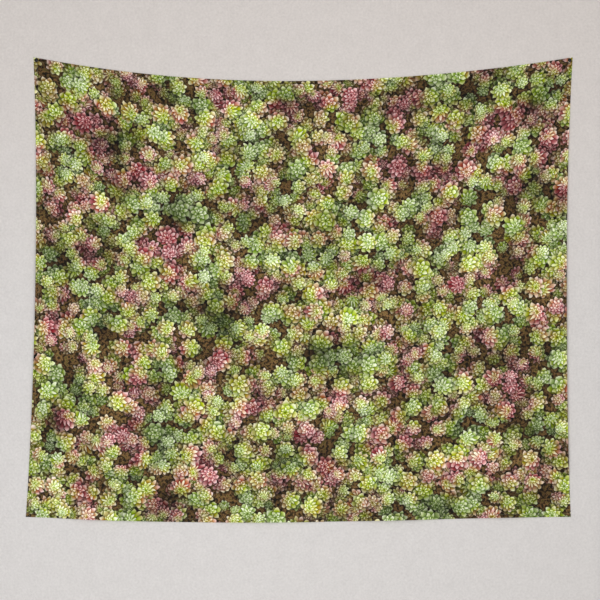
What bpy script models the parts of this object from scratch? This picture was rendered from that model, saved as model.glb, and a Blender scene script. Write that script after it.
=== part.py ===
"""A wall tapestry: a hemmed rectangle of thin cloth, hung flat on a wall by a pin at each top corner.

The wall is the plane y = 0. The cloth's printed front faces -Y, +X is to the right and +Z is up.
The origin lies on the wall, halfway between the two pins. A place on the cloth is given flat:
u is its share of the way across from the left edge, and v its share of the way down from the top.
"""

import math

import bmesh
import bpy
from mathutils import Vector

# The cloth as it was cut and hemmed
CLOTH_WIDTH = 1.524
CLOTH_HEIGHT = 1.295
CLOTH_THICKNESS = 0.0003
HEM_WIDTH = 0.012
HEM_THICKNESS = 0.0010
HEM_STEP = 0.0006

# Its outline as it hangs: the corners, and how its edges bow between them
TOP_CORNER_X = 0.7600
TOP_CORNER_Z = 0.0080
LEFT_BOTTOM_X = -0.7818
RIGHT_BOTTOM_X = 0.7549
BOTTOM_CORNER_Z = -1.2878
TOP_SAG = 0.0666
TOP_SAG_SKEW = 0.0027
SIDE_PULL_IN = 0.0175
LEFT_EASE = 0.0012
RIGHT_EASE = 0.0030
EASE_SHAPE = 1.35
BOTTOM_BOW = 0.0159
BOTTOM_BOW_PEAK = 0.393
BOTTOM_BOW_SHAPE = 1.5

# Swags: folds that hang from pin to pin, crowded near the pins and fading down the panel
SWAG_DEPTH = 0.018
SWAG_LENGTH = 0.25
SWAG_STRETCH = 0.9
SWAG_FADE = 0.30
SWAG_PINCH = 0.22
SWAG_SPREAD = 0.8

# Flutes: soft upright folds that grow towards the bottom. A sway is its size, its turns and its start
FLUTE_DEPTH = 0.016
FLUTE_LENGTH = 0.40
FLUTE_START = 0.15
FLUTE_FULL = 0.85
FLUTE_LEAN = (0.055, 0.45, 0.20)
FLUTE_SPACING = (0.035, 1.30, 0.16)
FLUTE_CHANGE = (0.25, 1.70, 0.13)

# The free side edges curl forward, and the corners lie flat on the wall
CURL_DEPTH = 0.008
CURL_REACH = 0.05
CURL_SHAPE = 1.5
FLAT_CORNER = 0.055
FLAT_BORDER = 0.12

# Sewing thread
THREAD_DIAMETER = 0.0004
STITCH_INSET = 0.010
STITCH_END = 0.016

# Pins
PIN_SPACING = 1.504
PIN_HEAD_DIAMETER = 0.011
PIN_HEAD_HEIGHT = 0.0026
PIN_RIM_HEIGHT = 0.0007
PIN_SOCKET_DEPTH = 0.0012
NEEDLE_DIAMETER = 0.0011
NEEDLE_LENGTH = 0.0100
NEEDLE_POINT = 0.0028

# Room between pieces that touch, and how far apart points may be and still be one
GAP = 0.0003
MERGE = 0.00001

# Fineness of the grid and of the turned pieces
COLUMNS = 34
ROWS = 32
HEAD_STEPS = 28
DOME_POINTS = 7
NEEDLE_STEPS = 16


def clear_scene():
    """Remove every object that the scene starts with."""
    for existing in list(bpy.data.objects):
        bpy.data.objects.remove(existing, do_unlink=True)


def make_collection(name):
    """A new collection in the scene."""
    collection = bpy.data.collections.new(name)
    bpy.context.scene.collection.children.link(collection)
    return collection


def make_material(name, color, roughness, metallic=0.0):
    """A Principled material."""
    material = bpy.data.materials.new(name)
    material.use_nodes = True
    shader = material.node_tree.nodes["Principled BSDF"]
    shader.inputs["Base Color"].default_value = (*color, 1.0)
    shader.inputs["Roughness"].default_value = roughness
    shader.inputs["Metallic"].default_value = metallic
    return material


def smooth_step(low, high, value):
    """0 below low, 1 above high, and a smooth rise between them."""
    t = min(1.0, max(0.0, (value - low) / (high - low)))
    return t * t * (3.0 - 2.0 * t)


def blend(start, end, share):
    """The value a share of the way from start to end."""
    return start + (end - start) * share


def bow(share):
    """A shallow curve that is 0 at both ends and 1 in the middle."""
    return max(0.0, 4.0 * share * (1.0 - share))


def top_edge(u):
    """A point (x, z) of the top edge, which hangs in one shallow curve, lowest left of the middle."""
    sag = TOP_SAG * bow(u) + TOP_SAG_SKEW * math.sin(2.0 * math.pi * u)
    return blend(-TOP_CORNER_X, TOP_CORNER_X, u), TOP_CORNER_Z - sag


def bottom_edge(u):
    """A point of the bottom edge, which bows down, lowest left of the middle."""
    skew = math.log(0.5) / math.log(BOTTOM_BOW_PEAK)
    drop = BOTTOM_BOW * max(0.0, math.sin(math.pi * u**skew)) ** BOTTOM_BOW_SHAPE
    return blend(LEFT_BOTTOM_X, RIGHT_BOTTOM_X, u), BOTTOM_CORNER_Z - drop


def side_edge(side, v):
    """A point of the left (-1) or right (1) edge, which is pulled in most just above half height."""
    bottom_x, ease = (RIGHT_BOTTOM_X, RIGHT_EASE) if side > 0 else (LEFT_BOTTOM_X, LEFT_EASE)
    pull_in = SIDE_PULL_IN * bow(v) - ease * math.sin(math.pi * v**EASE_SHAPE) ** 2
    x = blend(side * TOP_CORNER_X, bottom_x, v) - side * pull_in
    return x, blend(TOP_CORNER_Z, BOTTOM_CORNER_Z, v)


def outline_point(u, v):
    """Where a place on the cloth hangs, seen from the front: the four edges blended over the panel."""
    point = []
    for axis in (0, 1):
        across = blend(side_edge(-1, v)[axis], side_edge(1, v)[axis], u)
        down = blend(top_edge(u)[axis], bottom_edge(u)[axis], v)
        top = blend(top_edge(0.0)[axis], top_edge(1.0)[axis], u)
        bottom = blend(bottom_edge(0.0)[axis], bottom_edge(1.0)[axis], u)
        point.append(across + down - blend(top, bottom, v))
    return point


def sway(share, size, turns, start):
    """A slow wave that makes folds uneven."""
    return size * math.sin(2.0 * math.pi * (turns * share + start))


def fold_wave(turns):
    """The section of a row of folds: 0 on the wall, 1 at each crest."""
    return 0.5 - 0.5 * math.cos(2.0 * math.pi * turns)


def swag_depth(u, v):
    """The folds that hang from pin to pin."""
    reach = v * CLOTH_HEIGHT / blend(SWAG_PINCH, 1.0, bow(u) ** SWAG_SPREAD)
    crests = fold_wave((reach / SWAG_LENGTH) ** SWAG_STRETCH)
    return SWAG_DEPTH * crests * bow(u) * math.exp(-reach / SWAG_FADE)


def flute_depth(u, v):
    """The upright folds below them, unevenly spaced and leaning a little."""
    across = u * CLOTH_WIDTH + sway(v, *FLUTE_LEAN) + sway(u, *FLUTE_SPACING)
    size = FLUTE_DEPTH * (1.0 - FLUTE_CHANGE[0] + sway(u, *FLUTE_CHANGE))
    return size * fold_wave(across / FLUTE_LENGTH) * smooth_step(FLUTE_START, FLUTE_FULL, v)


def fold_depth(u, v):
    """How far a place on the cloth stands off the wall."""
    side = min(u, 1.0 - u) * CLOTH_WIDTH
    end = min(v, 1.0 - v) * CLOTH_HEIGHT
    curl = CURL_DEPTH * bow(v) ** CURL_SHAPE * math.exp(-side / CURL_REACH)
    off_corner = smooth_step(FLAT_CORNER, FLAT_CORNER + FLAT_BORDER, math.hypot(side, end))
    return (swag_depth(u, v) + flute_depth(u, v) + curl) * off_corner


def front_point(across, down):
    """The point on the cloth's front at flat distances from its left and top edges."""
    u, v = across / CLOTH_WIDTH, down / CLOTH_HEIGHT
    x, z = outline_point(u, v)
    return Vector((x, -HEM_THICKNESS - fold_depth(u, v), z))


def grid_lines(size, count):
    """Distances of the grid's lines from one edge: each hem has lines of its own, the rest are even."""
    hem = [0.0, STITCH_INSET, HEM_WIDTH, HEM_WIDTH + HEM_STEP]
    even = [blend(hem[-1], size - hem[-1], i / count) for i in range(1, count)]
    return hem + even + [size - distance for distance in reversed(hem)]


def make_cloth(collection, cutters, material):
    """The panel and its hems: a grid shaped as it hangs, thicker along its edges, with a hole at each pin."""
    across, down = grid_lines(CLOTH_WIDTH, COLUMNS), grid_lines(CLOTH_HEIGHT, ROWS)
    columns, rows = len(across) - 1, len(down) - 1
    shape = bmesh.new()
    bmesh.ops.create_grid(shape, x_segments=columns, y_segments=rows, size=0.5)
    hem_points = []
    for vertex in shape.verts:
        column = round((vertex.co.x + 0.5) * columns)
        row = round((0.5 - vertex.co.y) * rows)
        vertex.co = front_point(across[column], down[row])
        from_edge = min(across[column], across[columns - column], down[row], down[rows - row])
        if from_edge <= HEM_WIDTH:
            hem_points.append(vertex.index)
    if sum(face.normal.y for face in shape.faces) > 0.0:
        bmesh.ops.reverse_faces(shape, faces=shape.faces)
    mesh = bpy.data.meshes.new("cloth_panel")
    shape.to_mesh(mesh)
    shape.free()
    mesh.materials.append(material)
    mesh.shade_smooth()
    cloth = bpy.data.objects.new("cloth_panel", mesh)
    collection.objects.link(cloth)
    hem = cloth.vertex_groups.new(name="hem")
    hem.add(hem_points, 1.0, "REPLACE")

    thickness = cloth.modifiers.new("cloth thickness", "SOLIDIFY")
    thickness.thickness = HEM_THICKNESS
    thickness.offset = -1.0
    thickness.vertex_group = hem.name
    thickness.thickness_vertex_group = CLOTH_THICKNESS / HEM_THICKNESS

    for side in (-1, 1):
        hole = cloth.modifiers.new("pin hole", "BOOLEAN")
        hole.operation = "DIFFERENCE"
        hole.solver = "EXACT"
        hole.object = make_hole_cutter(cutters, side)
    return cloth


def make_hole_cutter(collection, side):
    """A cylinder through the cloth where a needle passes."""
    bpy.ops.mesh.primitive_cylinder_add(
        vertices=NEEDLE_STEPS,
        radius=NEEDLE_DIAMETER / 2 + GAP,
        depth=8 * HEM_THICKNESS,
        location=(side * PIN_SPACING / 2, -HEM_THICKNESS / 2, 0.0),
        rotation=(math.pi / 2, 0.0, 0.0),
    )
    cutter = bpy.context.object
    cutter.name = "pin_hole_left" if side < 0 else "pin_hole_right"
    for holder in list(cutter.users_collection):
        holder.objects.unlink(cutter)
    collection.objects.link(cutter)
    cutter.hide_render = True
    cutter.display_type = "WIRE"
    return cutter


def make_thread(collection, material, name, points):
    """One run of hem stitches: a fine tube that lies on the cloth's front."""
    curve = bpy.data.curves.new(name, "CURVE")
    curve.dimensions = "3D"
    curve.bevel_depth = THREAD_DIAMETER / 2
    curve.bevel_resolution = 1
    curve.use_fill_caps = True
    spline = curve.splines.new("POLY")
    spline.points.add(len(points) - 1)
    lift = Vector((0.0, -GAP - THREAD_DIAMETER / 2, 0.0))
    for target, point in zip(spline.points, points):
        target.co = (*(point + lift), 1.0)
    curve.materials.append(material)
    collection.objects.link(bpy.data.objects.new(name, curve))


def make_threads(collection, material):
    """The four runs, each along the grid line that it is sewn on, clear of the pin heads."""

    def stops(size, count):
        inner = [d for d in grid_lines(size, count) if STITCH_END < d < size - STITCH_END]
        return [STITCH_END, *inner, size - STITCH_END]

    across, down = stops(CLOTH_WIDTH, COLUMNS), stops(CLOTH_HEIGHT, ROWS)
    right, bottom = CLOTH_WIDTH - STITCH_INSET, CLOTH_HEIGHT - STITCH_INSET
    runs = {
        "hem_thread_top": [front_point(d, STITCH_INSET) for d in across],
        "hem_thread_bottom": [front_point(d, bottom) for d in across],
        "hem_thread_left": [front_point(STITCH_INSET, d) for d in down],
        "hem_thread_right": [front_point(right, d) for d in down],
    }
    for name, points in runs.items():
        make_thread(collection, material, name, points)


def make_turned(collection, name, profile, steps, material):
    """A turned solid from (radius, height) points, on an axis that points to the front, -Y."""
    mesh = bpy.data.meshes.new(name)
    points = [(radius, 0.0, height) for radius, height in profile]
    mesh.from_pydata(points, [(i, i + 1) for i in range(len(points) - 1)], [])
    mesh.materials.append(material)
    turned = bpy.data.objects.new(name, mesh)
    turned.rotation_euler = (math.pi / 2, 0.0, 0.0)
    collection.objects.link(turned)
    screw = turned.modifiers.new("turn", "SCREW")
    screw.axis = "Z"
    screw.angle = 2.0 * math.pi
    screw.steps = steps
    screw.render_steps = steps
    screw.use_merge_vertices = True
    screw.merge_threshold = MERGE
    screw.use_smooth_shade = True
    return turned


def head_profile():
    """The head from its crown: a low dome, a short rim, a flat underside and the needle's socket."""
    radius = PIN_HEAD_DIAMETER / 2
    rise = PIN_HEAD_HEIGHT - PIN_RIM_HEIGHT
    socket = NEEDLE_DIAMETER / 2 + GAP
    dome = []
    for i in range(DOME_POINTS + 1):
        angle = math.pi / 2 * i / DOME_POINTS
        dome.append((radius * math.sin(angle), PIN_RIM_HEIGHT + rise * math.cos(angle)))
    return dome + [(radius, 0.0), (socket, 0.0), (socket, PIN_SOCKET_DEPTH), (0.0, PIN_SOCKET_DEPTH)]


def needle_profile():
    """The needle from its end in the head to its point. Height 0 is the head's underside."""
    radius = NEEDLE_DIAMETER / 2
    top = PIN_SOCKET_DEPTH - GAP
    return [(0.0, top), (radius, top), (radius, NEEDLE_POINT - NEEDLE_LENGTH), (0.0, -NEEDLE_LENGTH)]


def make_pins(collection, head_material, needle_material):
    """The two pins, each a domed head and a needle through the cloth into the wall."""
    underside = -HEM_THICKNESS - GAP
    for side, word in ((-1, "left"), (1, "right")):
        place = (side * PIN_SPACING / 2, underside, 0.0)
        head = make_turned(collection, f"pin_head_{word}", head_profile(), HEAD_STEPS, head_material)
        head.location = place
        needle_name = f"pin_needle_{word}"
        needle = make_turned(collection, needle_name, needle_profile(), NEEDLE_STEPS, needle_material)
        needle.location = place


def main():
    clear_scene()
    parts = make_collection("wall_tapestry")
    cutters = make_collection("cutters")
    cloth = make_material("printed cloth", (0.24, 0.22, 0.11), 0.85)
    thread = make_material("sewing thread", (0.30, 0.32, 0.20), 0.60)
    plastic = make_material("black plastic", (0.012, 0.011, 0.011), 0.30)
    steel = make_material("needle steel", (0.62, 0.62, 0.63), 0.25, metallic=1.0)
    make_cloth(parts, cutters, cloth)
    make_threads(parts, thread)
    make_pins(parts, plastic, steel)


main()
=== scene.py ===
import math
from collections import namedtuple
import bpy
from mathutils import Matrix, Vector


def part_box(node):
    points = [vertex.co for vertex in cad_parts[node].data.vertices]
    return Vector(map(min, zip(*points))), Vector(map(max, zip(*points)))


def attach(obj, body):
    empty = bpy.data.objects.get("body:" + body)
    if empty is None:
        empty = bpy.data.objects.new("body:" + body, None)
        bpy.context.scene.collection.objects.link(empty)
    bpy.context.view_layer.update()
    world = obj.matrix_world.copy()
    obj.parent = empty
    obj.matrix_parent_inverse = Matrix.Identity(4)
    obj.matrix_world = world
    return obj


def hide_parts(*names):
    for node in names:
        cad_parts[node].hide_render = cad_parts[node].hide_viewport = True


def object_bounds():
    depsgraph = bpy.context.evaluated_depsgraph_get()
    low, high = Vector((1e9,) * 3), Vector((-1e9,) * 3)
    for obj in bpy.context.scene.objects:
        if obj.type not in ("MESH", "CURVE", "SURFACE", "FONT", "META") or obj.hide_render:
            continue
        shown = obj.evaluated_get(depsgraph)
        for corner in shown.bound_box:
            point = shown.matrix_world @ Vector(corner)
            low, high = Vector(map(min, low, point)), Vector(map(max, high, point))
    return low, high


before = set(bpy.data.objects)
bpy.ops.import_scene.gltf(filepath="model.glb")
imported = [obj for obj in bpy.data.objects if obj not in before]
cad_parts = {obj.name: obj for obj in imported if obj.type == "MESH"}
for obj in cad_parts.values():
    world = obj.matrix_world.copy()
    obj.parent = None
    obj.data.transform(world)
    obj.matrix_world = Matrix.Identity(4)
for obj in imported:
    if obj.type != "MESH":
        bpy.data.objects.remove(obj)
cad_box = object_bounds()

from types import SimpleNamespace

import bmesh
import bpy
import numpy as np
from mathutils import Vector

MM = 0.001
FULL_TURN = 2.0 * math.pi

# The cloth as it was cut and hemmed, in metres
CLOTH_WIDTH = 1.524
CLOTH_HEIGHT = 1.295
CLOTH_SIZE = np.array([CLOTH_WIDTH, CLOTH_HEIGHT])
CLOTH_THICKNESS = 0.0003
HEM_WIDTH = 0.012
HEM_THICKNESS = 0.0010
HEM_STEP = 0.0006
HEM_END = HEM_WIDTH + HEM_STEP
FOLD_RADIUS = HEM_THICKNESS / 2

# Its outline as it hangs. Its box in the frame gives the top corners and how far out the left side ends
cloth_low, cloth_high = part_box("cloth_panel")
TOP_CORNER_X = cloth_high.x
TOP_CORNER_Z = cloth_high.z
LEFT_BOTTOM_X = cloth_low.x
RIGHT_BOTTOM_X = 0.7549
TOP_SAG = 0.0666
TOP_SAG_SKEW = 0.0027
SIDE_PULL_IN = 0.0175
LEFT_EASE = 0.0012
RIGHT_EASE = 0.0030
EASE_SHAPE = 1.35
BOTTOM_BOW = 0.0159
BOTTOM_BOW_PEAK = 0.393
BOTTOM_BOW_SHAPE = 1.5
BOTTOM_CORNER_Z = -1.2878

# Swags that hang from pin to pin, and upright flutes below them. A sway is its size, turns and start
SWAG_DEPTH = 0.018
SWAG_LENGTH = 0.25
SWAG_STRETCH = 0.9
SWAG_FADE = 0.30
SWAG_PINCH = 0.22
SWAG_SPREAD = 0.8
FLUTE_DEPTH = 0.016
FLUTE_LENGTH = 0.40
FLUTE_RISE = (0.15, 0.85)
FLUTE_LEAN = (0.055, 0.45, 0.20)
FLUTE_SPACING = (0.035, 1.30, 0.16)
FLUTE_CHANGE = (0.25, 1.70, 0.13)
CURL_DEPTH = 0.008
CURL_REACH = 0.05
CURL_SHAPE = 1.5
FLAT_CORNER = 0.055
FLAT_BORDER = 0.12

# Soft ripples all over, each of a depth, a length and a heading
RIPPLES = ((0.00050, 0.125, 0.3), (0.00045, 0.094, 1.2), (0.00030, 0.071, 2.2), (0.00022, 0.053, 2.9))
RIPPLE_BEND = 0.25
RIPPLE_BEND_LENGTH = 3.1
RIPPLE_BORDER = 0.06

# Seams: the pucker along each, the dimple of its stitches and the ridge of its hem
PUCKER_DEPTH = 0.00035
PUCKER_LENGTH = 0.038
PUCKER_REACH = 0.009
PUCKER_CHANGE = 0.3
PUCKER_CHANGE_LENGTH = 5.3
SEAM_DIMPLE = 0.00012
SEAM_REACH = 0.0009
HEM_RIDGE = 0.00014

# Folds that gather round each pin, and where the cloth stops being flat and is creased in full
PINS = [sum(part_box(f"pin_needle_{word}"), Vector()) / 2 for word in ("left", "right")]
GATHER_DEPTH = 0.0007
GATHER_REACH = 0.030
GATHER_FOLDS = 7
GATHER_START = 0.2
PIN_CLEAR = (0.0060, 0.0132)

# Grid in millimetres: lines this far from each edge, even ones between, and the reach of a normal
EDGE_LINES = (0, 0.15, 0.5, 1.2, 2.4, 4.2, 6, 8, 9.3, 10, 10.7, 12, 12.6, 14, 16.5, 19.5, 23, 27, 32, 38)
EVEN_SPACING = 8.2
NORMAL_STEP = 0.5

# Layout of the bake, as shares of its square: the front above, and the back with wider hems below it
BAKE_MARGIN = 0.002
BAKE_FRONT = (0.996, 0.766)
BAKE_BACK = (0.996, 0.224)
BAKE_BACK_HEMS = (0.02, 0.06)

# Hem stitches. A ring of a stitch is its share of the length, and its lift and radius in thread radii
STITCH_INSET = 0.010
STITCH_START = 0.001
STITCH_PITCH = 0.0032
STITCH_LENGTH = 0.0027
STITCH_RINGS = (
    (0.0, -0.6, 0.25),
    (0.18, 0.25, 1.0),
    (0.5, 0.55, 1.0),
    (0.82, 0.25, 1.0),
    (1.0, -0.6, 0.25),
)
THREAD_RADIUS = 0.00018
THREAD_SIDES = 5

# Pins. The places and widths of heads and needles are those of their boxes in the frame
HEAD_RIM = 0.0007
HEAD_EDGE = 0.00025
HEAD_EDGE_STEPS = 4
SOCKET_RADIUS = 0.00085
SOCKET_DEPTH = 0.0012
NEEDLE_POINT = 0.0028
NEEDLE_SHAPE = 0.8
NEEDLE_EDGE = 0.00008
PIN_SIDES = 72
PIN_CURVE_STEPS = 14
SHARP_ANGLE = math.radians(35)

# A made-up print of succulent rosettes: body and tip colours of its leaves, from red to pale green, and soil
LEAF_COLORS = (
    (0.00, (140, 76, 80)),
    (0.15, (178, 111, 96)),
    (0.30, (174, 132, 92)),
    (0.45, (158, 142, 70)),
    (0.60, (148, 156, 58)),
    (0.75, (156, 178, 68)),
    (0.90, (146, 174, 78)),
    (1.00, (146, 174, 98)),
)
TIP_COLORS = (
    (0.00, (208, 140, 136)),
    (0.18, (226, 178, 162)),
    (0.36, (226, 200, 160)),
    (0.52, (222, 212, 144)),
    (0.70, (216, 222, 136)),
    (0.85, (212, 224, 144)),
    (1.00, (210, 222, 166)),
)
SOIL_COLORS = (
    (0.30, (22, 19, 10)),
    (0.46, (46, 37, 20)),
    (0.56, (104, 78, 50)),
    (0.64, (76, 68, 34)),
    (0.80, (42, 44, 20)),
)

# Beds of rosettes in millimetres, lowest first. left_out is a share of them, and lean is the most of any
Bed = namedtuple("Bed", "spacing radii brightness tip_length bluntness lean left_out grid_turn shift")
BEDS = (
    Bed(58, (13, 21), 0.46, 0.80, 1.3, 0.8, 0.10, 0.31, (13, 71)),
    Bed(58, (14, 23), 0.62, 1.00, 1.2, 0.8, 0.15, 1.12, (331, 17)),
    Bed(62, (14, 24), 0.86, 0.85, 1.6, 0.7, 0.20, 2.05, (57, 489)),
    Bed(65, (14, 25), 1.08, 1.00, 1.3, 0.6, 0.28, 0.74, (711, 233)),
    Bed(70, (14, 26), 1.22, 0.90, 1.9, 0.6, 0.30, 1.61, (147, 907)),
)
BED_SCATTER = 0.6

# Rings and leaves of a rosette. The pairs are the least and the most
RINGS = 3.0
RING_GROWTH = 0.8
LEAF_COUNT = (7.0, 10.99)
LEAF_HALF_WIDTH = 0.46
TIP_SPAN = (0.6, 1.05)
TIP_SOFTNESS = 0.06
TIP_START = 0.02

# Light on leaves. Pairs are the least and the most, and fours are a smooth change and the light at its ends
LEAF_LIGHT = (0.84, 1.18)
ROSETTE_LIGHT = (0.82, 1.18)
LIGHT_ALONG = (0.05, 0.95, 0.30, 1.28)
LIGHT_TO_SIDE = (0.18, 0.5, 1.0, 0.44)
LIGHT_OUTWARDS = (0.3, 1.3, 1.16, 0.58)
SHADE_UNDER_TIP = (-0.22, 0.0, 1.0, 0.62)
SHADOW_ON_BED = (0.75, 1.8, 0.84, 0.0)

# Where the light comes from, how much brighter a leaf is there, and how round leaves look
LIGHT_FROM = (-0.55, 0.83)
FACING_LIGHT = 0.26
LEAF_ROUNDNESS = -0.8

# Colour of the leaves: what moves it along the palette, where it becomes the tip's, and its saturation
HUE_START = 0.12
ROSETTE_HUE = 0.30
LEAF_HUE = 0.12
AGE_REDDENING = 0.45
ROSETTE_AGEING = (0.3, 1.2)
TIP_ALONG = (0.25, 1.0)
TIP_TO_SIDE = (0.1, 0.5, 0.9, 0.5)
SATURATION_ALONG = (0.1, 0.9, 0.98, 0.60)
LEAF_SATURATION = 0.26
ROSETTE_SATURATION = 0.14

# Numbers that only keep the random draws of leaves and rosettes apart and steady
LEAF_SEED_SHIFT = 0.0005
LEAF_SEED = 53.0
ROSETTE_SEEDS = (977.0, 313.0)
PRESENCE_SEED = 7.31

# The print as a whole: sizes of its noises' bumps, what they do, and the ink
WOBBLE_SIZE = 14
WOBBLE_REACH = 8.0
REGION_SIZE = 110
REGION_CONTRAST = 2.8
REGION_HUE = 0.59
SOIL_SIZE = 9
SOIL_ROUGHNESS = 0.65
GRAIN_PER_MM = 0.45
GRAIN_LIGHT = (0.85, 1.15)
BROAD_SIZE = 150
BROAD_LIGHT = (-0.02, 3.13)
INK_LIMIT = 0.90
INK_CONTRAST = 1.20
INK_STRENGTH = 1.46

# The weave in millimetres, with painted shade where it lies low, and the reverse, where the ink shows through
YARN_SPACING = 0.9
SLUBS_ALONG = 0.02
SLUBS_ACROSS = 1.1
YARN_HEIGHT = 0.25
YARN_LIGHT = (0.93, 1.0)
YARN_ROUGHNESS = (0.72, 0.78)
REVERSE_COLOR = (226, 222, 212)
REVERSE_INK = 0.22

# Thread, pin heads and needles, whose streaks are to the metre
THREAD_COLORS = ((0.3, (132, 134, 98)), (0.7, (168, 168, 130)))
THREAD_TONES_PER_MM = 0.8
TWIST_ACROSS = 14.0
TWIST_ALONG = 9.0
TWIST_LIGHT = 0.12
HEAD_COLORS = ((0.45, (12, 10, 10)), (0.75, (26, 23, 22)))
HEAD_ROUGHNESS = (0.35, 0.75, 0.32, 0.55)
HEAD_SCUFFS_PER_MM = 0.9
NEEDLE_COLORS = ((0.3, (178, 178, 180)), (0.7, (214, 214, 216)))
NEEDLE_ROUGHNESS = (0.3, 0.7, 0.18, 0.36)
NEEDLE_STREAKS = (9000.0, 300.0, 9000.0)

# The stage. The wall's colour changes between two heights as painted light, and its grain and blotches are to
# the metre
WALL_Y = 0.0009
STAGE_HALF = 6.0
STAGE_TOP = 3.0
FLOOR_Z = -2.3
FLOOR_COLOR = (214, 209, 205)
WALL_LOW_COLOR = (207, 204, 202)
WALL_HIGH_COLOR = (208, 202, 198)
WALL_CHANGE = (-0.9, 0.15)
WALL_GRAIN = 160.0
WALL_BLOTCHES = 22.0
WALL_GRAIN_LIGHT = 0.26
WALL_BLOTCH_LIGHT = 0.10
WALL_LIGHT = 0.81

# Each light's place, size, power and colour, and the light from all round
LIGHTS = {
    "key": ((-0.6, -3.2, -1.2), 2.2, 62.0, (247, 251, 255)),
    "fill": ((1.2, -3.8, 0.2), 3.0, 38.0, (255, 249, 245)),
    "back": ((-0.8, 3.2, 0.8), 2.5, 55.0, (255, 252, 250)),
}
STUDIO_COLOR = (226, 224, 222)
STUDIO_STRENGTH = 0.55

# The photo's frame: a point of the picture is a place on the wall
PHOTO_SIZE = 600
METRES_PER_PIXEL = 0.00282
PIN_MIDDLE_PIXEL = (303.1, 60.2)
LENS = 200.0
SENSOR = 36.0


def blend(start, end, share):
    """The value a share of the way from start to end."""
    return start + (end - start) * share


def smooth_step(low, high, value):
    """0 below low, 1 above high, and a smooth rise between them."""
    t = np.clip((value - low) / (high - low), 0.0, 1.0)
    return t * t * (3.0 - 2.0 * t)


def bow(share):
    """A shallow curve that is 0 at both ends and 1 in the middle."""
    return np.clip(4.0 * share * (1.0 - share), 0.0, 1.0)


def top_edge(u):
    """Points (x, z) of the top edge, which hangs in one shallow curve, lowest left of the middle."""
    sag = TOP_SAG * bow(u) + TOP_SAG_SKEW * np.sin(FULL_TURN * u)
    return blend(-TOP_CORNER_X, TOP_CORNER_X, u), TOP_CORNER_Z - sag


def bottom_edge(u):
    """Points of the bottom edge, which is bowed down, most left of the middle."""
    skew = math.log(0.5) / math.log(BOTTOM_BOW_PEAK)
    along = np.clip(u, 0.0, 1.0) ** skew
    drop = BOTTOM_BOW * np.clip(np.sin(math.pi * along), 0.0, 1.0) ** BOTTOM_BOW_SHAPE
    return blend(LEFT_BOTTOM_X, RIGHT_BOTTOM_X, u), BOTTOM_CORNER_Z - drop


def side_edge(side, v):
    """Points of the left (-1) or right (1) edge, which is pulled in most just above half height."""
    bottom_x, ease = (RIGHT_BOTTOM_X, RIGHT_EASE) if side > 0 else (LEFT_BOTTOM_X, LEFT_EASE)
    low_down = np.sin(math.pi * np.clip(v, 0.0, 1.0) ** EASE_SHAPE) ** 2
    x = blend(side * TOP_CORNER_X, bottom_x, v) - side * (SIDE_PULL_IN * bow(v) - ease * low_down)
    return x, blend(TOP_CORNER_Z, BOTTOM_CORNER_Z, v)


def outline_point(u, v):
    """Where places on the cloth hang, seen from the front: the four edges blended over the panel."""
    point = []
    for axis in (0, 1):
        across = blend(side_edge(-1, v)[axis], side_edge(1, v)[axis], u)
        down = blend(top_edge(u)[axis], bottom_edge(u)[axis], v)
        top = blend(top_edge(0.0)[axis], top_edge(1.0)[axis], u)
        bottom = blend(bottom_edge(0.0)[axis], bottom_edge(1.0)[axis], u)
        point.append(across + down - blend(top, bottom, v))
    return point


def edge_distances(across, down):
    """Distances to the nearer side edge, and to the nearer of the top and bottom edges."""
    return np.minimum(across, CLOTH_WIDTH - across), np.minimum(down, CLOTH_HEIGHT - down)


def sway(share, size, turns, start):
    """A slow wave that makes folds uneven."""
    return size * np.sin(FULL_TURN * (turns * share + start))


def fold_wave(turns):
    """The section of a row of folds: 0 on the wall, 1 at each crest."""
    return 0.5 - 0.5 * np.cos(FULL_TURN * turns)


def swag_depth(u, v):
    """Swags below the top edge, closest together at the pins."""
    reach = np.clip(v, 0.0, 1.0) * CLOTH_HEIGHT / blend(SWAG_PINCH, 1.0, bow(u) ** SWAG_SPREAD)
    crests = fold_wave((reach / SWAG_LENGTH) ** SWAG_STRETCH)
    return SWAG_DEPTH * crests * bow(u) * np.exp(-reach / SWAG_FADE)


def flute_depth(u, v):
    """Upright flutes that grow towards the bottom edge."""
    across = u * CLOTH_WIDTH + sway(v, *FLUTE_LEAN) + sway(u, *FLUTE_SPACING)
    size = FLUTE_DEPTH * (1.0 - FLUTE_CHANGE[0] + sway(u, *FLUTE_CHANGE))
    return size * fold_wave(across / FLUTE_LENGTH) * smooth_step(*FLUTE_RISE, v)


def fold_depth(u, v):
    """How far places on the cloth stand off the wall."""
    side, end = edge_distances(u * CLOTH_WIDTH, v * CLOTH_HEIGHT)
    curl = CURL_DEPTH * bow(v) ** CURL_SHAPE * np.exp(-side / CURL_REACH)
    off_corner = smooth_step(FLAT_CORNER, FLAT_CORNER + FLAT_BORDER, np.hypot(side, end))
    return (swag_depth(u, v) + flute_depth(u, v) + curl) * off_corner


def ripple_depth(across, down):
    """Soft ripples all over the cloth."""
    depth = np.zeros_like(across)
    for size, length, heading in RIPPLES:
        along = across * math.cos(heading) + down * math.sin(heading)
        over = down * math.cos(heading) - across * math.sin(heading)
        bend = RIPPLE_BEND * np.sin(FULL_TURN * over / (RIPPLE_BEND_LENGTH * length))
        depth += size * (1.0 + np.sin(FULL_TURN * (along / length + bend)))
    return depth


def pucker_depth(run, edge):
    """The pucker along a seam, at distances along the seam and from the cloth's edge."""
    uneven = PUCKER_CHANGE * np.sin(FULL_TURN * run / (PUCKER_CHANGE_LENGTH * PUCKER_LENGTH))
    pucker = fold_wave(run / PUCKER_LENGTH + uneven) * PUCKER_DEPTH
    return pucker * np.exp(-(((edge - STITCH_INSET) / PUCKER_REACH) ** 2))


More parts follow.
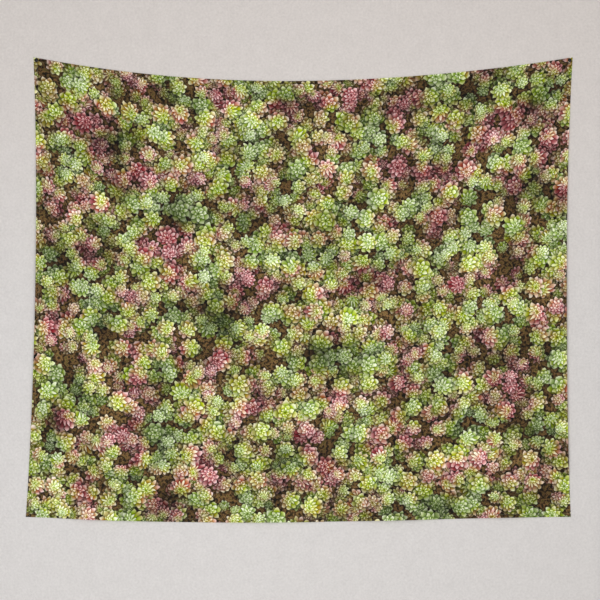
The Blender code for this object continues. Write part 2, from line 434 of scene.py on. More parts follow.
def crease_depth(across, down, x, z):
    """The small creases, which only lift the cloth off the folds' own shape."""
    side, end = edge_distances(across, down)
    edge = np.minimum(side, end)
    depth = ripple_depth(across, down) * smooth_step(0.0, RIPPLE_BORDER, edge)
    depth += pucker_depth(np.where(side < end, down, across), edge)
    for pin in PINS:
        from_pin = np.hypot(x - pin.x, z - pin.z)
        angle = np.arctan2(z - pin.z, x - pin.x)
        gather = GATHER_DEPTH * fold_wave(GATHER_FOLDS * angle / FULL_TURN + GATHER_START)
        depth += gather * np.exp(-((from_pin / GATHER_REACH) ** 2))
        depth *= smooth_step(*PIN_CLEAR, from_pin)
    return depth


def front_points(across, down):
    """Points on the cloth's front, before its edges are rounded."""
    u, v = across / CLOTH_WIDTH, down / CLOTH_HEIGHT
    x, z = outline_point(u, v)
    y = -HEM_THICKNESS - fold_depth(u, v) - crease_depth(across, down, x, z)
    return np.stack([x, y, z], axis=-1)


def front_normals(across, down):
    """Unit normals of the front, from points close by."""
    step = NORMAL_STEP * MM
    over = front_points(across + step, down) - front_points(across - step, down)
    below = front_points(across, down + step) - front_points(across, down - step)
    normal = np.cross(below, over)
    normal *= -np.sign(normal[..., 1:2])
    return normal / np.linalg.norm(normal, axis=-1, keepdims=True)


def layer_offsets(edge):
    """How far the front and the back lie behind the front's points, by the distance from the edge."""
    near = 1.0 - np.clip(edge / FOLD_RADIUS, 0.0, 1.0)
    rounding = FOLD_RADIUS * (1.0 - np.sqrt(1.0 - near**2))
    past_hem = smooth_step(HEM_WIDTH, HEM_END, edge)
    dimple = SEAM_DIMPLE * np.exp(-(((edge - STITCH_INSET) / SEAM_REACH) ** 2))
    front = rounding + dimple + HEM_RIDGE * (past_hem - 1.0)
    back = blend(HEM_THICKNESS, CLOTH_THICKNESS, past_hem) - rounding - dimple
    return front, back


def surface(across, down):
    """Points on the cloth's front and back, and its normals."""
    side, end = edge_distances(across, down)
    front, back = layer_offsets(np.clip(np.minimum(side, end), 0.0, None))
    points, normals = front_points(across, down), front_normals(across, down)
    return points - normals * front[..., None], points - normals * back[..., None], normals


def grid_lines(size):
    """Distances of the grid's lines from one edge, close together over the hem."""
    near = [line * MM for line in EDGE_LINES]
    count = round((size - 2 * near[-1]) / (EVEN_SPACING * MM))
    even = [blend(near[-1], size - near[-1], i / count) for i in range(1, count)]
    return np.array(near + even + [size - line for line in reversed(near)])


def make_mesh(name, places, faces):
    """A smooth-shaded mesh."""
    mesh = bpy.data.meshes.new(name)
    mesh.from_pydata(places, [], faces)
    mesh.shade_smooth()
    return mesh


def make_object(name, mesh, *materials):
    """A shown object with its materials."""
    made = bpy.data.objects.new(name, mesh)
    bpy.context.scene.collection.objects.link(made)
    for material in materials:
        mesh.materials.append(material)
    return made


def cell_corners(grid, turned):
    """A grid's values at the four corners of each of its cells, in the other order for the back."""
    corners = [grid[:-1, :-1], grid[1:, :-1], grid[1:, 1:], grid[:-1, 1:]]
    if turned:
        corners.reverse()
    return np.stack(corners, axis=-1).reshape(-1, 4)


def cloth_layers(across, down):
    """Points and faces of the front and then of the back, which share the points along the edge."""
    front, back, _ = surface(across, down)
    front_index = np.arange(across.size).reshape(across.shape)
    inside = np.zeros(across.shape, bool)
    inside[1:-1, 1:-1] = True
    back_index = front_index.copy()
    back_index[inside] = across.size + np.arange(inside.sum())
    places = np.concatenate([front.reshape(-1, 3), back[inside]])
    return places, np.concatenate([cell_corners(front_index, False), cell_corners(back_index, True)])


def turn_hems(flat, middle, in_hem):
    """The back's flat places, where a hem is the cloth beyond the edge, turned over, side hems first."""
    turned_over = np.stack([in_hem[:, 0] & ~in_hem[:, 1], in_hem[:, 1]], axis=-1)
    fold = np.where(middle < CLOTH_SIZE / 2, 0.0, CLOTH_SIZE)
    return np.where(turned_over[:, None, :], 2.0 * fold[:, None, :] - flat, flat)


def bake_back(flat):
    """The back's places in the bake, where its narrow hems are given extra room."""
    shares = []
    for axis, (size, hem) in enumerate(zip(CLOTH_SIZE, BAKE_BACK_HEMS)):
        stops = (0.0, HEM_END, size - HEM_END, size)
        shares.append(np.interp(flat[:, :, axis], stops, (0.0, hem, 1.0 - hem, 1.0)))
    return np.stack(shares, axis=-1) * BAKE_BACK + (0.0, BAKE_FRONT[1] + 2 * BAKE_MARGIN)


def set_uv(mesh, name, places, top):
    """Adds a UV map from the places of all faces' corners, which are measured down from its top."""
    places = places.reshape(-1, 2) * (1.0, -1.0) + (0.0, top)
    mesh.uv_layers.new(name=name).data.foreach_set("uv", places.astype(np.float32).ravel())


def make_cloth(print_material, back_material):
    """The cloth as one closed sheet: front, rounded edges, and a back with its turned hems."""
    across, down = np.meshgrid(grid_lines(CLOTH_WIDTH), grid_lines(CLOTH_HEIGHT))
    places, faces = cloth_layers(across, down)
    mesh = make_mesh("printed_cloth", places.tolist(), faces.tolist())

    front = np.stack([cell_corners(across, False), cell_corners(down, False)], axis=-1)
    back = np.stack([cell_corners(across, True), cell_corners(down, True)], axis=-1)
    middle = back.mean(axis=1)
    in_hem = np.minimum(middle, CLOTH_SIZE - middle) < HEM_END
    bake_front = front / CLOTH_SIZE * BAKE_FRONT
    set_uv(mesh, "cloth_flat", np.concatenate([front, turn_hems(back, middle, in_hem)]), 0.0)
    set_uv(mesh, "OFBake", np.concatenate([bake_front, bake_back(back)]) + BAKE_MARGIN, 1.0)

    unprinted = np.concatenate([np.zeros(len(front), bool), ~in_hem.any(axis=1)])
    mesh.polygons.foreach_set("material_index", unprinted.astype(np.int32))
    rows, columns = across.shape
    split_corner_faces(mesh, (0, columns - 1, (rows - 1) * columns, rows * columns - 1))
    return make_object("printed_cloth", mesh, print_material, back_material)


def split_corner_faces(mesh, corners):
    """Splits the faces at the cloth's corners inwards, so that front and back share no diagonal."""
    cloth_shape = bmesh.new()
    cloth_shape.from_mesh(mesh)
    cloth_shape.verts.ensure_lookup_table()
    for corner in [cloth_shape.verts[index] for index in corners]:
        for face in list(corner.link_faces):
            corner_loop = next(loop for loop in face.loops if loop.vert == corner)
            opposite = corner_loop.link_loop_next.link_loop_next.vert
            bmesh.utils.face_split(face, corner, opposite)
    cloth_shape.to_mesh(mesh)
    cloth_shape.free()


def circle(sides):
    """Angles all round a circle."""
    return [FULL_TURN * k / sides for k in range(sides)]


def stitch_places(start, end, up):
    """Points of one stitch, ring by ring: it is a little arched, and its narrow ends are sunken."""
    along = (end - start) / np.linalg.norm(end - start)
    sideways = np.cross(along, up)
    places = []
    for share, lift, width in STITCH_RINGS:
        centre = blend(start, end, share) + up * THREAD_RADIUS * lift
        for angle in circle(THREAD_SIDES):
            spoke = sideways * math.cos(angle) + up * math.sin(angle)
            places.append(tuple(centre + spoke * THREAD_RADIUS * width))
    return places


def stitch_faces(first):
    """One stitch's sides and two ends, from the index of its first point."""
    last = first + (len(STITCH_RINGS) - 1) * THREAD_SIDES
    faces = []
    for k in range(THREAD_SIDES):
        after = (k + 1) % THREAD_SIDES
        for low in range(first, last, THREAD_SIDES):
            high = low + THREAD_SIDES
            faces.append((low + k, high + k, high + after, low + after))
    faces.append(tuple(range(first, first + THREAD_SIDES)))
    faces.append(tuple(reversed(range(last, last + THREAD_SIDES))))
    return faces


def make_stitches(name, along_x, inset, material):
    """One hem's run of lock stitches, on the front and on the back."""
    length = CLOTH_WIDTH if along_x else CLOTH_HEIGHT
    count = round((length - 2 * STITCH_START) / STITCH_PITCH)
    starts = STITCH_START + np.arange(count) * STITCH_PITCH

    def on_hem(run):
        other = np.full_like(run, inset)
        return surface(run, other) if along_x else surface(other, run)

    front_start, back_start, up = on_hem(starts)
    front_end, back_end, _ = on_hem(starts + STITCH_LENGTH)
    places, faces = [], []
    for layer in (zip(front_start, front_end, up), zip(back_start, back_end, -up)):
        for stitch in layer:
            faces += stitch_faces(len(places))
            places += stitch_places(*stitch)
    return make_object(name, make_mesh(name, places, faces), material)


def turned_faces(rings):
    """Faces of a turned piece: strips from ring to ring, and a fan at each end."""
    last = 1 + (rings - 1) * PIN_SIDES
    faces = []
    for k in range(PIN_SIDES):
        after = (k + 1) % PIN_SIDES
        faces.append((0, 1 + k, 1 + after))
        for low in range(1, last, PIN_SIDES):
            high = low + PIN_SIDES
            faces.append((low + k, high + k, high + after, low + after))
        faces.append((last + k, last + PIN_SIDES, last + after))
    return faces


def make_turned(name, node, profile, material):
    """A closed piece turned about its node's middle, from (radius, y) points from axis to axis."""
    low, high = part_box(node)
    x, z = (low.x + high.x) / 2, (low.z + high.z) / 2
    places = [(x, profile[0][1], z)]
    for radius, y in profile[1:-1]:
        places += [(x + radius * math.cos(a), y, z + radius * math.sin(a)) for a in circle(PIN_SIDES)]
    places.append((x, profile[-1][1], z))
    mesh = make_mesh(name, places, turned_faces(len(profile) - 2))
    mesh.set_sharp_from_angle(angle=SHARP_ANGLE)
    return make_object(name, mesh, material)


def quarter_turn(steps):
    """Angles from 0 to a right angle."""
    return [math.pi / 2 * i / steps for i in range(steps + 1)]


def make_head(name, node, material):
    """A low dome with a short rim, a rounded lower edge and a socket for the needle."""
    low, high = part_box(node)
    radius = (high.x - low.x) / 2
    rim_top = high.y - HEAD_RIM
    rise = rim_top - low.y
    dome = [(radius * math.sin(a), rim_top - rise * math.cos(a)) for a in quarter_turn(PIN_CURVE_STEPS)]
    edge_radius, edge_y = radius - HEAD_EDGE, high.y - HEAD_EDGE
    edge = [
        (edge_radius + HEAD_EDGE * math.cos(a), edge_y + HEAD_EDGE * math.sin(a))
        for a in quarter_turn(HEAD_EDGE_STEPS)
    ]
    socket_top = high.y - SOCKET_DEPTH
    socket = [(SOCKET_RADIUS, high.y), (SOCKET_RADIUS, socket_top), (0.0, socket_top)]
    return make_turned(name, node, dome + edge + socket, material)


def make_needle(name, node, material):
    """A round needle that narrows in a slight curve to its point in the wall."""
    low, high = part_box(node)
    radius = (high.x - low.x) / 2
    profile = [(0.0, low.y), (radius - NEEDLE_EDGE, low.y), (radius, low.y + NEEDLE_EDGE)]
    for a in quarter_turn(PIN_CURVE_STEPS)[:-1]:
        from_point = NEEDLE_POINT * (1.0 - math.sin(a))
        profile.append((radius * math.cos(a) ** NEEDLE_SHAPE, high.y - from_point))
    profile.append((0.0, high.y))
    return make_turned(name, node, profile, material)


class Num:
    """A number in a node tree: a socket or a constant. Sums, products and the like add Math nodes."""

    def __init__(self, tree, value):
        self.tree = tree
        self.value = value

    def of(self, operation, *others, clamp=False):
        node = self.tree.nodes.new("ShaderNodeMath")
        node.operation = operation
        node.use_clamp = clamp
        for socket, value in zip(node.inputs, (self, *others)):
            put(self.tree, value, socket)
        return Num(self.tree, node.outputs[0])

    def __add__(self, other):
        return self.of("ADD", other)

    def __sub__(self, other):
        return self.of("SUBTRACT", other)

    def __rsub__(self, other):
        return Num(self.tree, other).of("SUBTRACT", self)

    def __mul__(self, other):
        return self.of("MULTIPLY", other)

    def __truediv__(self, other):
        return self.of("DIVIDE", other)

    def __pow__(self, other):
        return self.of("POWER", other)

    __radd__ = __add__
    __rmul__ = __mul__

    def step(self, low, high, from_value=0.0, to_value=1.0):
        """A smooth change from from_value to to_value as this goes from low to high."""
        node = self.tree.nodes.new("ShaderNodeMapRange")
        node.interpolation_type = "SMOOTHSTEP"
        for socket, value in zip(node.inputs, (self, low, high, from_value, to_value)):
            put(self.tree, value, socket)
        return Num(self.tree, node.outputs[0])


def put(tree, value, socket):
    """Gives a socket its value: a link from another node, or a constant."""
    value = value.value if isinstance(value, Num) else value
    if isinstance(value, bpy.types.NodeSocket):
        tree.links.new(value, socket)
    else:
        socket.default_value = value


def vector_of(tree, operation, first, second):
    """A Vector Math node's vector. The second value of SCALE is a number."""
    node = tree.nodes.new("ShaderNodeVectorMath")
    node.operation = operation
    put(tree, first, node.inputs[0])
    put(tree, second, node.inputs["Scale" if operation == "SCALE" else 1])
    return node.outputs[0]


def combine(tree, x, y, z):
    """A vector of three numbers."""
    node = tree.nodes.new("ShaderNodeCombineXYZ")
    for socket, value in zip(node.inputs, (x, y, z)):
        put(tree, value, socket)
    return node.outputs[0]


def separate(tree, vector):
    """The three numbers of a vector or a colour."""
    node = tree.nodes.new("ShaderNodeSeparateXYZ")
    tree.links.new(vector, node.inputs[0])
    return [Num(tree, socket) for socket in node.outputs]


def length_of(x, y):
    """The length of a flat vector."""
    return (x * x + y * y).of("SQRT")


def noise_node(tree, place, scale, detail=2.0, roughness=0.5, dimensions="2D"):
    """A soft noise from 0 to 1, with a number of bumps per unit of the place."""
    node = tree.nodes.new("ShaderNodeTexNoise")
    node.noise_dimensions = dimensions
    tree.links.new(place, node.inputs["Vector"])
    node.inputs["Scale"].default_value = scale
    node.inputs["Detail"].default_value = detail
    node.inputs["Roughness"].default_value = roughness
    return node


def noise(tree, place, scale, **settings):
    """The noise's number."""
    return Num(tree, noise_node(tree, place, scale, **settings).outputs["Fac"])


def color_ramp(tree, value, stops):
    """A colour from a row of (place, sRGB colour) stops."""
    node = tree.nodes.new("ShaderNodeValToRGB")
    while len(node.color_ramp.elements) < len(stops):
        node.color_ramp.elements.new(0.5)
    for element, (place, color) in zip(node.color_ramp.elements, stops):
        element.position = place
        element.color = linear(color)
    put(tree, value, node.inputs[0])
    return node.outputs["Color"]


def linear(color):
    """An sRGB colour of 0 to 255 as linear RGBA."""
    return (*(((c / 255 + 0.055) / 1.055) ** 2.4 if c > 10 else c / 255 / 12.92 for c in color), 1.0)


def mix_color(tree, share, first, second):
    """The second colour over the first, by a share."""
    node = tree.nodes.new("ShaderNodeMix")
    node.data_type = "RGBA"
    factor, color_a, color_b = node.inputs[0], node.inputs[6], node.inputs[7]
    put(tree, share, factor)
    put(tree, first, color_a)
    put(tree, second, color_b)
    return node.outputs[2]


def saturate(tree, color, saturation):
    """A colour with its saturation times a number."""
    node = tree.nodes.new("ShaderNodeHueSaturation")
    put(tree, saturation, node.inputs["Saturation"])
    put(tree, color, node.inputs["Color"])
    return node.outputs[0]


def shade(tree, color, brightness):
    """A colour times a brightness."""
    return vector_of(tree, "SCALE", color, brightness)


def rosette_here(tree, place, bed):
    """The rosette that a place belongs to, and where in it the place is. Each Voronoi cell holds one."""
    turned = tree.nodes.new("ShaderNodeVectorRotate")
    turned.rotation_type = "Z_AXIS"
    turned.inputs["Angle"].default_value = bed.grid_turn
    turned.inputs["Center"].default_value = (*bed.shift, 0.0)
    tree.links.new(place, turned.inputs["Vector"])
    here = turned.outputs[0]
    cells = tree.nodes.new("ShaderNodeTexVoronoi")
    cells.voronoi_dimensions = "2D"
    tree.links.new(here, cells.inputs["Vector"])
    cells.inputs["Scale"].default_value = 1.0 / bed.spacing
    cells.inputs["Randomness"].default_value = BED_SCATTER
    pick, turn, kind = separate(tree, cells.outputs["Color"])
    radius = blend(*bed.radii, pick)

    # The rosette leans: its inner rings are shifted towards where it faces
    dx, dy, _ = separate(tree, vector_of(tree, "SUBTRACT", here, cells.outputs["Position"]))
    facing = turn * FULL_TURN
    lean = (1.0 - length_of(dx, dy) / radius).of("MAXIMUM", 0.0) * radius * (kind * bed.lean)
    dx = dx - facing.of("COSINE") * lean
    dy = dy - facing.of("SINE") * lean
    out = length_of(dx, dy) / radius
    return SimpleNamespace(pick=pick, turn=turn, kind=kind, radius=radius, dx=dx, dy=dy, out=out)


def leaf_here(tree, rosette, bed):
    """The leaf that is seen at a place. It starts in its own ring, and its tip lies over the next one out."""
    ring_place = rosette.out**RING_GROWTH * RINGS
    ring = ring_place.of("FLOOR")
    share = ring_place - ring
    leaves = blend(*LEAF_COUNT, rosette.kind).of("FLOOR")
    own_place = rosette.dy.of("ARCTAN2", rosette.dx) / FULL_TURN * leaves + ring * 0.5
    over_place = own_place + 0.5
    own_leaf, over_leaf = own_place.of("FLOOR"), over_place.of("FLOOR")
    own_across = own_place - own_leaf - 0.5
    over_across = over_place - over_leaf - 0.5

    # How far inside the outline of the tip above the place is, and whether there is such a tip
    over_random = leaf_chance(tree, over_leaf, leaves, ring - 1.0, rosette.pick)
    narrowing = 1.0 - (share / (bed.tip_length * blend(*TIP_SPAN, over_random[0]))) ** bed.bluntness
    in_tip = narrowing * LEAF_HALF_WIDTH - over_across.of("ABSOLUTE")
    has_ring_inside = (ring - RINGS / 2.0 - 0.5).of("ABSOLUTE").of("LESS_THAN", RINGS / 2.0)
    top = in_tip.of("GREATER_THAN", TIP_START) * has_ring_inside
    tip_shows = in_tip.step(0.0, TIP_SOFTNESS) * has_ring_inside

    leaf = blend(own_leaf, over_leaf, top)
    of_ring = ring - top
    return SimpleNamespace(
        across=blend(own_across, over_across, top),
        along=(share + top) / (1.0 + bed.tip_length),
        of_ring=of_ring,
        random=leaf_chance(tree, leaf, leaves, of_ring, rosette.pick),
        in_tip=in_tip,
        top=top,
        covers=tip_shows.of("MAXIMUM", ring_place.of("LESS_THAN", RINGS)),
    )


def leaf_chance(tree, leaf, leaves, ring, pick):
    """Three random numbers from 0 to 1 that belong to one leaf of one ring of one rosette."""
    around = (leaf / leaves + LEAF_SEED_SHIFT).of("FRACT") * LEAF_SEED
    node = tree.nodes.new("ShaderNodeTexWhiteNoise")
    node.noise_dimensions = "3D"
    seed = combine(tree, around + pick * ROSETTE_SEEDS[0], ring, pick * ROSETTE_SEEDS[1])
    tree.links.new(seed, node.inputs["Vector"])
    return separate(tree, node.outputs["Color"])


def leaf_light(rosette, leaf):
    """Light on a leaf: dark at the root, at its sides and under the leaf above, bright at the tip."""
    side = leaf.across.of("ABSOLUTE")
    light = leaf.along.step(*LIGHT_ALONG) * side.step(*LIGHT_TO_SIDE)
    light = light * blend(leaf.in_tip.step(*SHADE_UNDER_TIP), 1.0, leaf.top)
    light = light * blend(*LEAF_LIGHT, leaf.random[0])
    light_x, light_y = LIGHT_FROM
    towards = (rosette.dx * light_x + rosette.dy * light_y) / rosette.radius
    sideways = (rosette.dx * light_y - rosette.dy * light_x) / rosette.radius
    light = light * (towards * FACING_LIGHT + 1.0) * (sideways * leaf.across * LEAF_ROUNDNESS + 1.0)
    return light * rosette.out.step(*LIGHT_OUTWARDS) * blend(*ROSETTE_LIGHT, rosette.kind)


def leaf_color(tree, region, rosette, leaf):
    """A leaf's colour. Older leaves further out are redder, and tips are pale."""
    ageing = leaf.of_ring / RINGS * AGE_REDDENING * blend(*ROSETTE_AGEING, rosette.kind)
    chance = (rosette.turn - 0.5) * ROSETTE_HUE + (leaf.random[1] - 0.5) * LEAF_HUE
    hue = (region + chance - ageing).of("ADD", HUE_START, clamp=True)
    tip_share = leaf.along.step(*TIP_ALONG) * leaf.across.of("ABSOLUTE").step(*TIP_TO_SIDE)
    body, tip = color_ramp(tree, hue, LEAF_COLORS), color_ramp(tree, hue, TIP_COLORS)
    color = mix_color(tree, tip_share, body, tip)
    chance = leaf.random[2] * LEAF_SATURATION + rosette.pick * ROSETTE_SATURATION
    return saturate(tree, color, leaf.along.step(*SATURATION_ALONG) + chance)


def rosette_bed(tree, place, region, under, bed):
    """One bed of rosettes over the colour under it, on which they cast a shadow."""
    rosette = rosette_here(tree, place, bed)
    leaf = leaf_here(tree, rosette, bed)
    color = leaf_color(tree, region, rosette, leaf)
    color = shade(tree, color, leaf_light(rosette, leaf) * bed.brightness)
    present = (rosette.turn * PRESENCE_SEED + rosette.kind).of("FRACT").of("GREATER_THAN", bed.left_out)
    shadow = 1.0 - rosette.out.step(*SHADOW_ON_BED) * present
    return mix_color(tree, leaf.covers * present, shade(tree, under, shadow), color)


def ink(tree, color):
    """A colour as it is printed: ink deepens the dark tones and holds back the brightest."""
    full = vector_of(tree, "ADD", shade(tree, color, INK_LIMIT), (1.0, 1.0, 1.0))
    contrast = tree.nodes.new("ShaderNodeGamma")
    tree.links.new(vector_of(tree, "DIVIDE", color, full), contrast.inputs["Color"])
    contrast.inputs["Gamma"].default_value = INK_CONTRAST
    return shade(tree, contrast.outputs["Color"], INK_STRENGTH)


def make_print_group():
    """A node group that gives the print's colour at a place on the flat cloth, in millimetres."""
    tree = bpy.data.node_groups.new("succulent print", "ShaderNodeTree")
    tree.interface.new_socket("Place", in_out="INPUT", socket_type="NodeSocketVector")
    tree.interface.new_socket("Color", in_out="OUTPUT", socket_type="NodeSocketColor")
    start = tree.nodes.new("NodeGroupInput").outputs["Place"]
    wobble = noise_node(tree, start, 1 / WOBBLE_SIZE, detail=1.0).outputs["Color"]
    wobble = vector_of(tree, "SUBTRACT", wobble, (0.5, 0.5, 0.5))
    place = vector_of(tree, "ADD", start, vector_of(tree, "SCALE", wobble, WOBBLE_REACH))
    region = (noise(tree, start, 1 / REGION_SIZE) - 0.5) * REGION_CONTRAST + REGION_HUE
    soil = noise(tree, place, 1 / SOIL_SIZE, detail=3.0, roughness=SOIL_ROUGHNESS)
    color = color_ramp(tree, soil, SOIL_COLORS)
    for bed in BEDS:
        color = rosette_bed(tree, place, region, color, bed)
    grain = noise(tree, start, GRAIN_PER_MM)
    broad = noise(tree, start, 1 / BROAD_SIZE, detail=1.0)
    color = shade(tree, color, blend(*GRAIN_LIGHT, grain) * blend(*BROAD_LIGHT, broad))
    end = tree.nodes.new("NodeGroupOutput")
    tree.links.new(ink(tree, color), end.inputs["Color"])
    return tree


def principled(name, settings):
    """A new material, its tree and its shader, with the shader's sockets set."""
    material = bpy.data.materials.new(name)
    material.use_nodes = True
    tree = material.node_tree
    shader = tree.nodes["Principled BSDF"]
    for socket, value in settings.items():
        shader.inputs[socket].default_value = value
    return material, tree, shader


def add_bump(tree, shader, height, strength, distance):
    """Bumps on a material. A height of 1 stands for a distance in metres."""
    bump = tree.nodes.new("ShaderNodeBump")
    bump.inputs["Strength"].default_value = strength
    bump.inputs["Distance"].default_value = distance
    put(tree, height, bump.inputs["Height"])
    tree.links.new(bump.outputs["Normal"], shader.inputs["Normal"])


def object_place(tree):
    """The place in the object's own metres."""
    return tree.nodes.new("ShaderNodeTexCoord").outputs["Object"]


def in_millimetres(tree, place):
    """A place in millimetres instead of metres."""
    return vector_of(tree, "SCALE", place, 1.0 / MM)


def weave_height(tree, place):
    """A plain weave of fine yarns, some thicker than others."""
    x, y, _ = separate(tree, place)
    yarns = FULL_TURN / YARN_SPACING
    woven = (x * yarns).of("SINE") * (y * yarns).of("SINE")
    slub_across = vector_of(tree, "MULTIPLY", place, (SLUBS_ALONG, SLUBS_ACROSS, 1.0))
    slub_down = vector_of(tree, "MULTIPLY", place, (SLUBS_ACROSS, SLUBS_ALONG, 1.0))
    slubs = noise(tree, slub_across, 1.0, detail=1.0) + noise(tree, slub_down, 1.0, detail=1.0)
    return woven * YARN_HEIGHT + slubs


def cloth_material(name, print_group, reverse):
    """The printed face, or the paler reverse where the ink shows through."""
    settings = {"Roughness": 0.8, "Sheen Weight": 0.06, "Specular IOR Level": 0.15}
    material, tree, shader = principled(name, settings)
    uv = tree.nodes.new("ShaderNodeUVMap")
    uv.uv_map = "cloth_flat"
    place = in_millimetres(tree, uv.outputs["UV"])
    group = tree.nodes.new("ShaderNodeGroup")
    group.node_tree = print_group
    tree.links.new(place, group.inputs["Place"])
    color = group.outputs["Color"]
    if reverse:
        color = mix_color(tree, REVERSE_INK, linear(REVERSE_COLOR), color)
    height = weave_height(tree, place)
    # Painted shade: the colour is darker where the weave lies low and lighter on its raised yarns and slubs
    color = shade(tree, color, blend(*YARN_LIGHT, height))
    tree.links.new(color, shader.inputs["Base Color"])
    put(tree, blend(*YARN_ROUGHNESS, height), shader.inputs["Roughness"])
    add_bump(tree, shader, height, strength=0.25, distance=0.0002)
    return material


def thread_material():
    """Twisted polyester thread."""
    material, tree, shader = principled("sewing_thread", {"Roughness": 0.5, "Sheen Weight": 0.3})
    place = in_millimetres(tree, object_place(tree))
    x, y, z = separate(tree, place)
    twist = ((x + z) * TWIST_ACROSS + y * TWIST_ALONG).of("SINE")
    color = color_ramp(tree, noise(tree, place, THREAD_TONES_PER_MM, dimensions="3D"), THREAD_COLORS)
    # Painted shade: the thread's colour is darker in the grooves of its twist
    color = shade(tree, color, twist * TWIST_LIGHT + (1.0 - TWIST_LIGHT))
    tree.links.new(color, shader.inputs["Base Color"])
    add_bump(tree, shader, twist, strength=0.5, distance=0.00005)
    return material


def head_material():
    """Black moulded plastic, a little glossy, with fine scuffs."""
    material, tree, shader = principled("pin_head_black", {"Roughness": 0.4, "Specular IOR Level": 0.2})
    place = in_millimetres(tree, object_place(tree))
    scuffs = noise(tree, place, HEAD_SCUFFS_PER_MM, detail=4.0, roughness=0.7, dimensions="3D")
    tree.links.new(color_ramp(tree, scuffs, HEAD_COLORS), shader.inputs["Base Color"])
    put(tree, scuffs.step(*HEAD_ROUGHNESS), shader.inputs["Roughness"])
    add_bump(tree, shader, scuffs, strength=0.2, distance=0.0001)
    return material


def needle_material():
    """Bright steel, drawn along its length."""
    material, tree, shader = principled("needle_steel", {"Roughness": 0.25, "Metallic": 1.0})
    drawn = vector_of(tree, "MULTIPLY", object_place(tree), NEEDLE_STREAKS)
    streaks = noise(tree, drawn, 1.0, dimensions="3D")
    tree.links.new(color_ramp(tree, streaks, NEEDLE_COLORS), shader.inputs["Base Color"])
    put(tree, streaks.step(*NEEDLE_ROUGHNESS), shader.inputs["Roughness"])
    return material


def wall_material():
    """Pale plaster, seen only from the front, so that the cloth's back can be looked at."""
    material, tree, shader = principled("wall", {"Roughness": 0.9, "Specular IOR Level": 0.1})
    place = object_place(tree)
    grain = noise(tree, place, WALL_GRAIN, detail=3.0, dimensions="3D")
    blotches = noise(tree, place, WALL_BLOTCHES, detail=4.0, dimensions="3D")
    # Painted light: the wall's colour is cooler and a little paler low down than higher up
    upwards = separate(tree, place)[2].step(*WALL_CHANGE)
    tint_with_painted_light = mix_color(tree, upwards, linear(WALL_LOW_COLOR), linear(WALL_HIGH_COLOR))
    tone = grain * WALL_GRAIN_LIGHT + blotches * WALL_BLOTCH_LIGHT + WALL_LIGHT
    tree.links.new(shade(tree, tint_with_painted_light, tone), shader.inputs["Base Color"])
    add_bump(tree, shader, grain, strength=0.5, distance=0.002)
    clear_from_behind(tree, shader)
    return material


def floor_material():
    """A plain pale floor, seen only from above."""
    settings = {"Base Color": linear(FLOOR_COLOR), "Roughness": 0.85, "Specular IOR Level": 0.2}
    material, tree, shader = principled("floor", settings)
    clear_from_behind(tree, shader)
    return material


def clear_from_behind(tree, shader):
    """Makes a surface see-through from its back, so that it hides nothing from there."""
    clear = tree.nodes.new("ShaderNodeBsdfTransparent")
    sides = tree.nodes.new("ShaderNodeMixShader")
    back_seen = tree.nodes.new("ShaderNodeNewGeometry").outputs["Backfacing"]
    tree.links.new(back_seen, sides.inputs[0])
    tree.links.new(shader.outputs[0], sides.inputs[1])
    tree.links.new(clear.outputs[0], sides.inputs[2])
    tree.links.new(sides.outputs[0], tree.nodes["Material Output"].inputs["Surface"])


def make_plane(name, corners, material):
    """A flat stage piece from its four corners, counter-clockwise from its seen side."""
    plane = make_object(name, make_mesh(name, corners, [(0, 1, 2, 3)]), material)
    return plane


def make_stage():
    """A plaster wall behind the cloth and a pale floor."""
    left, right, low, high = -STAGE_HALF, STAGE_HALF, FLOOR_Z, STAGE_TOP
    upright = [(left, WALL_Y, low), (right, WALL_Y, low), (right, WALL_Y, high), (left, WALL_Y, high)]
    wall = make_plane("wall", upright, wall_material())
    wall.visible_shadow = False
    wall.visible_diffuse = False
    level = [(left, left, low), (right, left, low), (right, right, low), (left, right, low)]
    make_plane("floor", level, floor_material())


def make_area_light(name, place, size, power, color):
    """A round soft light that faces the cloth's middle."""
    data = bpy.data.lights.new(name, "AREA")
    data.shape = "DISK"
    data.size = size
    data.energy = power
    data.color = linear(color)[:3]
    light = bpy.data.objects.new(name, data)
    light.location = place
    middle = sum(cad_box, Vector()) / 2
    light.rotation_euler = (middle - Vector(place)).to_track_quat("-Z", "Y").to_euler()
    light.visible_camera = False
    bpy.context.scene.collection.objects.link(light)


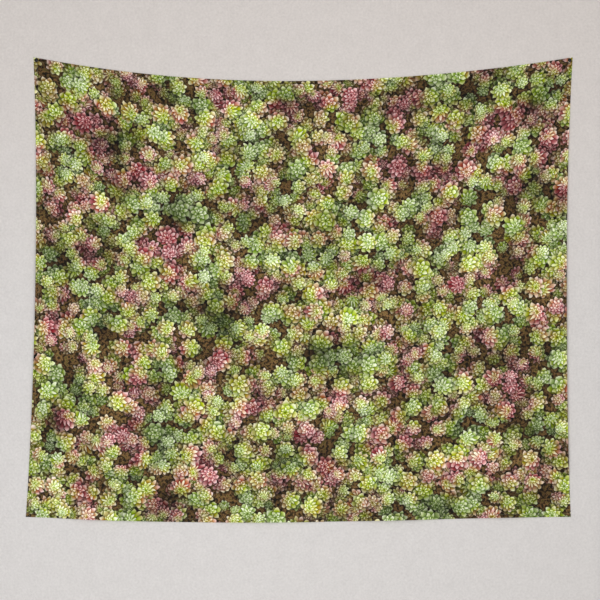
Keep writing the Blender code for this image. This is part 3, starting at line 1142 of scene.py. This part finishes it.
def make_light():
    """Soft studio light: a broad key from the lower left, a fill, and a lamp for the back."""
    for name, settings in LIGHTS.items():
        make_area_light(name, *settings)
    world = bpy.data.worlds.new("studio")
    world.use_nodes = True
    background = world.node_tree.nodes["Background"]
    background.inputs["Color"].default_value = linear(STUDIO_COLOR)
    background.inputs["Strength"].default_value = STUDIO_STRENGTH
    bpy.context.scene.world = world
    bpy.context.scene.view_settings.view_transform = "Standard"


def make_camera():
    """A camera straight in front of the wall, with the photo's frame."""
    data = bpy.data.cameras.new("camera")
    data.lens = LENS
    data.sensor_width = SENSOR
    camera = bpy.data.objects.new("camera", data)
    middle_x = (PHOTO_SIZE / 2 - PIN_MIDDLE_PIXEL[0]) * METRES_PER_PIXEL
    middle_z = (PIN_MIDDLE_PIXEL[1] - PHOTO_SIZE / 2) * METRES_PER_PIXEL
    distance = PHOTO_SIZE * METRES_PER_PIXEL * LENS / SENSOR
    camera.location = (middle_x, -distance, middle_z)
    camera.rotation_euler = (math.pi / 2, 0.0, 0.0)
    bpy.context.scene.collection.objects.link(camera)
    bpy.context.scene.camera = camera


succulents = make_print_group()
printed = cloth_material("printed_cloth", succulents, reverse=False)
cloth = make_cloth(printed, cloth_material("cloth_reverse", succulents, reverse=True))
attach(cloth, "root")
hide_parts("cloth_panel")

thread = thread_material()
stitch_runs = {
    "top": (True, STITCH_INSET),
    "bottom": (True, CLOTH_HEIGHT - STITCH_INSET),
    "left": (False, STITCH_INSET),
    "right": (False, CLOTH_WIDTH - STITCH_INSET),
}
for word, (along_x, inset) in stitch_runs.items():
    run = make_stitches(f"hem_stitches_{word}", along_x, inset, thread)
    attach(run, "root")
    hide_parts(f"hem_thread_{word}")

black, steel = head_material(), needle_material()
for word in ("left", "right"):
    head = make_head(f"domed_head_{word}", f"pin_head_{word}", black)
    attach(head, "root")
    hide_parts(f"pin_head_{word}")
    needle = make_needle(f"steel_needle_{word}", f"pin_needle_{word}", steel)
    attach(needle, "root")
    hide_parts(f"pin_needle_{word}")

make_stage()
make_light()
make_camera()
